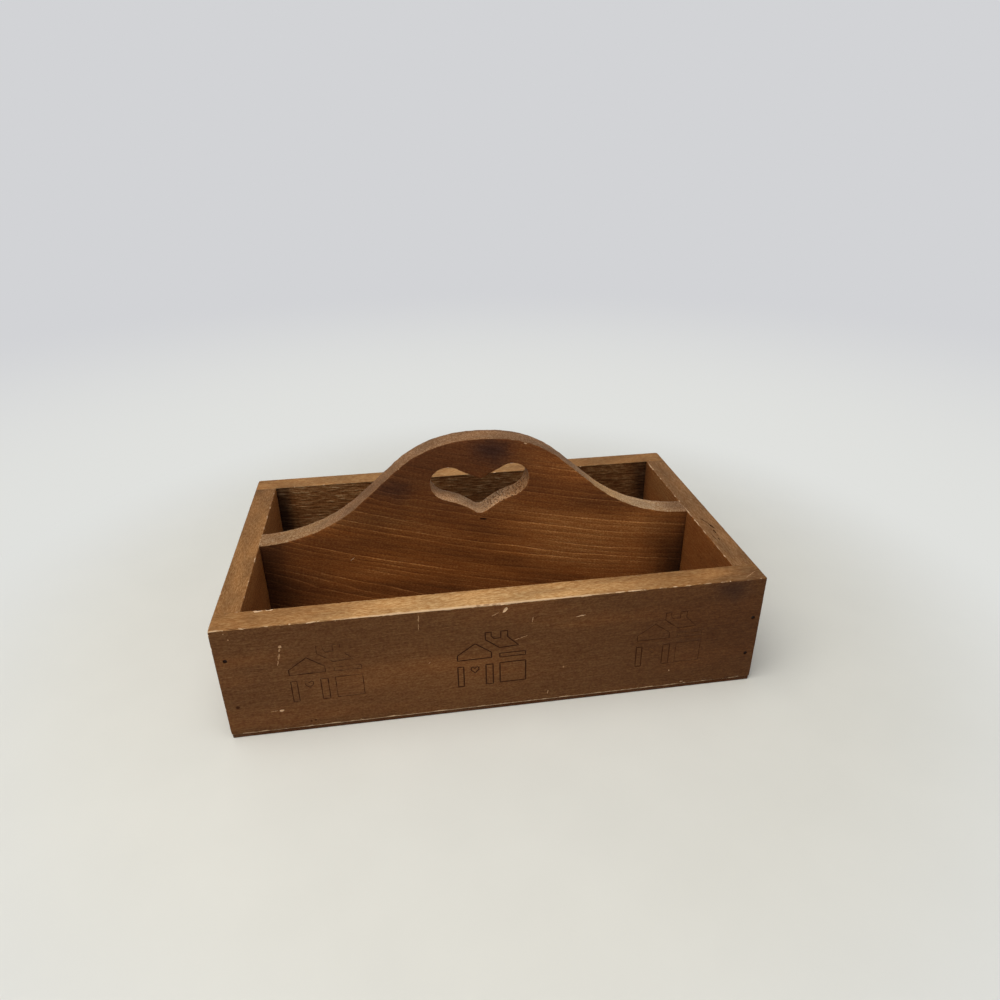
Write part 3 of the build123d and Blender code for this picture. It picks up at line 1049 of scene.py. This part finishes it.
class CADDY_OT_front_plank(Operator):
    """Model the front board with its pressed houses, sunk nails, chips and scratches"""

    bl_idname = "caddy.front_plank"
    bl_label = "Front plank"

    def execute(self, context):
        low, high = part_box("front_board")
        tone = colours()
        plank = saw_plank("front_plank", "front_board", (1.6, 4.0, 4.0), inner=(0, 1, 0))
        wear(plank, box_arris("front_board", (0, 1, 0)))
        face = low.y / MM

        def on_face(x, z):
            return (low.x / MM + x, face, z)

        log = Log(
            turn=(0, 1.2, 0), heart=(30, 90, 210), ring=2.6, clear=0.12, cloudy=0.14, pores=0.42,
            patches=(
                (on_face(140, 35), (150, 30, 45), "glow", 0.1),
                # Darker towards the right end of the front
                (on_face(390, 40), (170, 30, 130), "deep_stain", 0.8),
                (on_face(356, 84), (26, 30, 22), "knot", 0.35),
                (on_face(357, 84), (17, 30, 13), "pressed", 0.5),
            ),
            rims=(
                (on_face(165, 92), (200, 40, 30), "gold", 0.9),
                (on_face(381, 92), (70, 40, 30), "sheet", 0.6),
            ),
            worn_and_highlit=(
                (on_face(170, 92), (420, 9, 6), 1.1),
                (on_face(165, 92), (150, 9, 6), 0.9),
                (on_face(0, 92), (16, 16, 12), 0.9),
                # Painted highlight along the front's bottom edge, drawn as bare wood
                (on_face(190, 3.2), (500, 8, 5), 1.7),
            ),
        )
        stain = (tone.deep_stain, tone.stain, tone.warm_stain)
        lining = (tone.red_stain, tone.warm_stain, tone.glow)
        finish_wood(plank, pine("stained_pine_front", log, stain, lining, (low, high), (0, 1, 0)))
        cutters = []
        for number, ((share_x, share_z), depths) in enumerate(HOUSES):
            corner = (low.x + share_x * (high.x - low.x), low.z + share_z * (high.z - low.z))
            cutters.append(press_house(corner, depths, low.y, number))
        cutters += nail_pockets("front_left_nails", 1, -1, FRONT_POCKET, low.y, filled=(0,))
        cutters += nail_pockets("front_right_nails", 1, -1, FRONT_POCKET, low.y)
        carve(plank, cutters)

        cutters = [scratch(start, end, width, number, slot=slot)
                   for number, (start, end, width, slot) in enumerate(FRONT_SCRATCHES)]
        cutters += [scar(on_face(x, z), half, (0, lean, 0), slot) for (x, z), half, lean, slot in FRONT_DABS]

        # On the top edge: a scratch near the right end, and two chips at the inner side on the left
        top = high.z / MM
        cutters.append(scratch((175.6, -111.6), (185.6, -104.6), 0.9, 31, level=top, slot=SCUFF))
        cutters.append(scar((-161.5, high.y / MM - 0.9, top), (3.2, 1.4, 0.7), (0, 0, 4)))
        cutters.append(scar((-154.4, high.y / MM - 0.7, top), (2.6, 1.2, 0.7), (0, 0, -5)))
        carve(plank, cutters)

        cutters = edge_chips((low.x, low.y, high.z), (high.x, low.y, high.z), 13, 5)
        cutters += edge_chips((low.x + 60 * MM, high.y, high.z), high, 5, 8)
        cutters += edge_chips(low, (high.x, low.y, low.z), 9, 2)
        cutters += edge_chips(low, (low.x, low.y, high.z), 3, 3)
        cutters += edge_chips((high.x, low.y, low.z), (high.x, low.y, high.z), 3, 4)
        carve(plank, cutters)
        hand_over(plank, "front_board")
        return {"FINISHED"}


class CADDY_OT_back_plank(Operator):
    """Model the back board, left rough from the saw on its inner face"""

    bl_idname = "caddy.back_plank"
    bl_label = "Back plank"

    def execute(self, context):
        low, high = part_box("back_board")
        tone = colours()
        plank = saw_plank("back_plank", "back_board", (2.6, 4.0, 0.75), inner=(0, -1, 0))
        wear(plank, box_arris("back_board", (0, -1, 0)))
        tear_fibres(plank, lambda vertex: vertex.normal.y < -0.9 and vertex.co.z < high.z - 1 * MM)
        face = low.y / MM
        log = Log(
            turn=(0, -1.0, 0), heart=(400, -150, 170), ring=3.1, cloudy=0.36, fibres=0.5,
            patches=(
                # Painted shade in the back board's inner corners and on its middle, seen through the heart
                ((-172, face, 55), (22, 9, 120), "soil_and_painted_shade", 0.9),
                ((172, face, 55), (22, 9, 120), "soil_and_painted_shade", 0.9),
                ((10, face, 80), (75, 9, 40), "soil_and_painted_shade", 0.4),
                ((125, face, 70), (90, 9, 80), "deep_stain", 0.6),
            ),
            rims=(
                ((0, 105, 92), (500, 90, 60), "sawn", 0.25),
                ((-110, 105, 92), (90, 40, 30), "gold", 0.2),
                ((12, 105, 92), (75, 40, 30), "gold", 0.45),
            ),
        )
        stain = (tone.deep_stain, tone.stain, tone.warm_stain)
        lining = (tone.stain, tone.rough, tone.edge)
        finish = pine("stained_pine_back", log, stain, lining, (low, high), (0, -1, 0), ridged=True)
        finish_wood(plank, finish)
        cutters = []
        for node in ("back_left_nails", "back_right_nails"):
            cutters += nail_pockets(node, 1, 1, BOARD_POCKET, high.y)
        cutters += edge_chips((low.x, low.y, high.z), (high.x, low.y, high.z), 9, 15)
        cutters += edge_chips((low.x, high.y, high.z), high, 11, 16)
        carve(plank, cutters)
        hand_over(plank, "back_board")
        return {"FINISHED"}


class CADDY_OT_end_planks(Operator):
    """Model the two end boards that stand between the front and the back"""

    bl_idname = "caddy.end_planks"
    bl_label = "End planks"

    def execute(self, context):
        ends = (
            ("left", -1, Log(
                turn=(0, 0, 90), heart=(200, 120, 160), ring=2.8, cloudy=0.36, tan=0.82,
                rims=(((-182, 95, 92), (60, 90, 60), "sheet", 0.4),),
                worn_and_highlit=(((-173, 0, 92), (7, 500, 7), 0.55),),
            )),
            ("right", 1, Log(
                turn=(0, 0, 90), heart=(-300, -100, 200), ring=3.2, cloudy=0.36, tan=0.72,
                patches=(
                    ((173, 0, 50), (90, 400, 200), "stain", 0.3),
                    ((173, 45, 88), (40, 70, 45), "edge", 0.45),
                    # Painted shade in the corner by the back board
                    ((173, 97, 55), (12, 24, 120), "soil_and_painted_shade", 0.5),
                ),
                rims=(((182, 0, 92), (90, 500, 90), "sawn", 0.5),),
                worn_and_highlit=(((173, 60, 92), (7, 160, 7), 0.6), ((173, -60, 92), (7, 160, 7), 0.3)),
            )),
        )
        tone = colours()
        for side, outward, log in ends:
            node = side + "_end_board"
            low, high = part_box(node)
            inward = (-outward, 0, 0)
            plank = saw_plank(side + "_end_plank", node, (4.0, 1.6, 4.0), rounded=(1,), inner=inward)
            wear(plank, box_arris(node, inward))
            stain = (tone.deep_stain, tone.stain, tone.warm_stain)
            lining = (tone.warm_stain, tone.glow, tone.warm_stain) if outward < 0 else (
                tone.stain, tone.warm_stain, tone.warm_stain)
            finish = pine("stained_pine_" + side, log, stain, lining, (low, high), inward)
            finish_wood(plank, finish)
            face = high.x if outward > 0 else low.x
            cutters = nail_pockets(side + "_divider_nails", 0, outward, BOARD_POCKET, face)
            for x, seed in ((low.x, 21), (high.x, 22)):
                cutters += edge_chips((x, low.y, high.z), (x, high.y, high.z), 7, seed + outward)
            if side == "right":
                top = high.z / MM
                cutters += [scratch(start, end, width, number, level=top, slot=slot)
                            for number, (start, end, width, slot) in enumerate(CRACKS)]
                cutters.append(scar((184.2, 11.0, top), (1.1, 0.6, 0.5), (0, 0, 20), SCUFF))
            carve(plank, cutters)
            hand_over(plank, node)
        return {"FINISHED"}


class CADDY_OT_handle_plank(Operator):
    """Model the divider with its arched handle and heart-shaped hand-hole"""

    bl_idname = "caddy.handle_plank"
    bl_label = "Handle plank"

    def execute(self, context):
        size = sizes()
        low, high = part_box("divider")
        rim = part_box("front_board")[1].z
        plank, curve = new_curve("handle_plank", "2D")
        curve.fill_mode = "BOTH"
        curve.resolution_u = 28
        curve.extrude = (high.y - low.y) / 2 - size.arris_radius
        curve.bevel_depth = size.arris_radius
        curve.bevel_resolution = 1
        curve.offset = -size.arris_radius
        draw_outline(curve, arch_runs(low, high, rim))
        tip = (0, high.z - size.grip_height - size.heart_height)
        draw_outline(curve, heart_runs(tip, size.heart_width, size.heart_height))
        plank.rotation_euler = (math.pi / 2, 0, 0)
        plank.location = (0, (low.y + high.y) / 2, 0)
        only(plank)
        bpy.ops.object.convert(target="MESH")
        plank = bpy.context.object
        bpy.ops.object.transform_apply(location=True, rotation=True, scale=True)
        bpy.ops.object.mode_set(mode="EDIT")
        bpy.ops.mesh.select_all(action="SELECT")
        bpy.ops.mesh.remove_doubles(threshold=0.01 * MM)
        bpy.ops.mesh.normals_make_consistent(inside=False)
        bpy.ops.mesh.dissolve_limited(angle_limit=math.radians(0.2))

        # Cells to be worn, by axis
        for axis, cell in ((0, 2.0 * MM), (2, 4.0 * MM), (1, 2.4 * MM)):
            count = round((high[axis] - low[axis]) / cell)
            across = Vector((axis == 0, axis == 1, axis == 2))
            for step in range(1, count):
                bpy.ops.mesh.select_all(action="SELECT")
                cut = low + across * (high[axis] - low[axis]) * step / count
                bpy.ops.mesh.bisect(plane_co=cut, plane_no=across)
        bpy.ops.object.mode_set(mode="OBJECT")

        # Only the eased edges have normals between the faces' and the outline's
        wear(plank, lambda vertex: 0.15 < abs(vertex.normal.y) < 0.97)
        front = low.y / MM
        log = Log(
            turn=(0, -13.0, 0), heart=(0, 50, 120), ring=4.7, bow=-0.4, clear=0.92,
            patches=(
                # Darker towards the top of the divider
                ((-30, front, 150), (170, 60, 110), "red_stain", 0.95),
                # Painted shade over the divider's left part, by the left end board
                ((-175, front, 45), (110, 60, 80), "red_stain", 0.8),
                ((-85, front, 118), (100, 60, 70), "soil_and_painted_shade", 0.34),
                # Painted light on the divider's lower right
                ((105, front, 68), (120, 60, 50), "glow", 0.3),
                ((100, front, 104), (85, 60, 21), "red_stain", 0.62),
                ((-90, front, 104), (60, 60, 18), "soil_and_painted_shade", 0.2),
                ((10, front, 157), (27, 60, 22), "knot", 0.9),
                ((-67, front, 131), (28, 60, 18), "knot", 0.6),
                # Painted shade in the divider's lower corners by the end boards, darkest in a wedge at the
                # right end
                ((-176, front, 60), (45, 60, 140), "soil_and_painted_shade", 0.7),
                ((184, front, 12), (64, 60, 165), "soil_and_painted_shade", 0.95),
                ((178, front, 58), (20, 60, 60), "soil_and_painted_shade", 0.45),
            ),
            calm=(((-10, front, 152), (170, 60, 95)),),
            rims=(
                ((0, 1.5, 118), (105, 60, 60), "gold", 0.3),
                ((0, 1.5, 118), (105, 60, 60), "glow", 0.35),
                ((24, 1.5, 122), (42, 60, 32), "glow", 0.3),
                ((-32, 1.5, 128), (40, 60, 36), "glow", 0.4),
                # Painted light, with paler wood, on the arch's right flank
                ((112, 1.5, 108), (85, 60, 50), "gold", 0.65),
                ((130, 1.5, 96), (45, 60, 30), "raw", 0.2),
                ((-145, 1.5, 94), (70, 60, 30), "gold", 0.25),
                # Painted shade on the arch's left flank
                ((-84, 1.5, 130), (55, 60, 45), "stain", 0.55),
                ((-4, 1.5, 118), (62, 60, 40), "raw", 0.26),
            ),
        )
        tone = colours()
        lining = (tone.red_stain, tone.warm_stain, tone.glow)
        finish = pine("stained_pine_handle", log, lining, lining, (low, high), (0, 1, 0), sawn=True)
        finish_wood(plank, finish)
        cutters = [
            scar((2.0, front, 100), (3.0, 0.6, 0.9), (0, 8, 0), slot=PRESSED),
            scar((-103.5, front, 73.5), (0.3, 0.4, 2.4), (0, 50, 0)),
            scar((35.7, front, 162.6), (1.3, 0.6, 0.5), (0, 22, 0)),
            scar((-62.0, front, 148.6), (0.7, 0.4, 0.4), (0, -38, 0), slot=SCUFF),
            scar((70.5, front, 142.2), (1.0, 0.5, 0.4), (0, 40, 0)),
        ]
        cutters += saw_pits(plank, tip[1], high.z - size.grip_height, 40)
        carve(plank, cutters)
        hand_over(plank, "divider")
        return {"FINISHED"}


class CADDY_OT_base_sheet(Operator):
    """Model the thin bottom sheet with the heads of its nails sunk from below"""

    bl_idname = "caddy.base_sheet"
    bl_label = "Base sheet"

    def execute(self, context):
        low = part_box("bottom_panel")[0]
        plank = saw_plank("base_sheet", "bottom_panel", (6.0, 6.0, 1.0))
        cutters = []
        for node in ("front", "back", "left", "right", "divider"):
            cutters += nail_pockets(node + "_panel_nails", 2, -1, SHEET_POCKET, low.z)
        finish_wood(plank, sheet_board())
        carve(plank, cutters)
        hand_over(plank, "bottom_panel")
        return {"FINISHED"}


class CADDY_OT_nails(Operator):
    """Give the nails their browned steel"""

    bl_idname = "caddy.nails"
    bl_label = "Nails"

    def execute(self, context):
        steel = nail_steel()
        for name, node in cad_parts.items():
            if name.endswith("_nails"):
                for slot in node.material_slots:
                    slot.material = steel
        return {"FINISHED"}


class CADDY_OT_stage(Operator):
    """Set the pale floor, the soft light and the camera"""

    bl_idname = "caddy.stage"
    bl_label = "Stage"

    def execute(self, context):
        tone = colours()
        floor = studio_floor()
        floor.data.materials.append(floor_paint())

        world = bpy.data.worlds.new("soft_room")
        context.scene.world = world
        world.use_nodes = True
        light = world.node_tree.nodes["Background"].inputs
        light["Color"].default_value = tone.room
        light["Strength"].default_value = ROOM_LIGHT

        bpy.ops.object.light_add(type="AREA", location=LAMP_PLACE)
        lamp = bpy.context.object
        lamp.name = "soft_key"
        lamp.data.size = LAMP_SIZE
        lamp.data.energy = LAMP_POWER
        lamp.data.color = tone.lamp[:3]
        lamp.rotation_euler = (Vector(LAMP_AIM) - lamp.location).to_track_quat("-Z", "Y").to_euler()
        lamp.visible_camera = False

        camera = bpy.data.objects.new("camera", bpy.data.cameras.new("camera"))
        context.collection.objects.link(camera)
        azimuth, elevation, roll = (math.radians(angle) for angle in CAMERA_TURN)
        turned = (Matrix.Rotation(azimuth, 4, "Z") @ Matrix.Rotation(math.pi / 2 - elevation, 4, "X")
                  @ Matrix.Rotation(roll, 4, "Z"))
        camera.matrix_world = Matrix.Translation(CAMERA_PLACE) @ turned
        camera.data.sensor_width = CAMERA_SENSOR
        camera.data.lens = CAMERA_LENS
        camera.data.clip_start = 0.01
        context.scene.camera = camera
        context.scene.view_settings.view_transform = "Standard"
        return {"FINISHED"}


class CADDY_PT_panel(Panel):
    """Lists the steps that build the caddy"""

    bl_idname = "CADDY_PT_panel"
    bl_label = "Wooden caddy"
    bl_space_type = "VIEW_3D"
    bl_region_type = "UI"
    bl_category = "Caddy"

    def draw(self, context):
        for step in STEPS:
            self.layout.operator(step.bl_idname)
        for group in (context.scene.caddy_sizes, context.scene.caddy_colours):
            for key in group.bl_rna.properties.keys():
                if key not in ("rna_type", "name"):
                    self.layout.prop(group, key)


STEPS = (CADDY_OT_front_plank, CADDY_OT_back_plank, CADDY_OT_end_planks, CADDY_OT_handle_plank,
         CADDY_OT_base_sheet, CADDY_OT_nails, CADDY_OT_stage)
CLASSES = (CaddySizes, CaddyColours, *STEPS, CADDY_PT_panel)


def register():
    for cls in CLASSES:
        bpy.utils.register_class(cls)
    bpy.types.Scene.caddy_sizes = PointerProperty(type=CaddySizes)
    bpy.types.Scene.caddy_colours = PointerProperty(type=CaddyColours)


def unregister():
    del bpy.types.Scene.caddy_colours
    del bpy.types.Scene.caddy_sizes
    for cls in reversed(CLASSES):
        bpy.utils.unregister_class(cls)


def main():
    register()
    bpy.ops.caddy.front_plank()
    bpy.ops.caddy.back_plank()
    bpy.ops.caddy.end_planks()
    bpy.ops.caddy.handle_plank()
    bpy.ops.caddy.base_sheet()
    bpy.ops.caddy.nails()
    bpy.ops.caddy.stage()


if __name__ == "__main__":
    main()
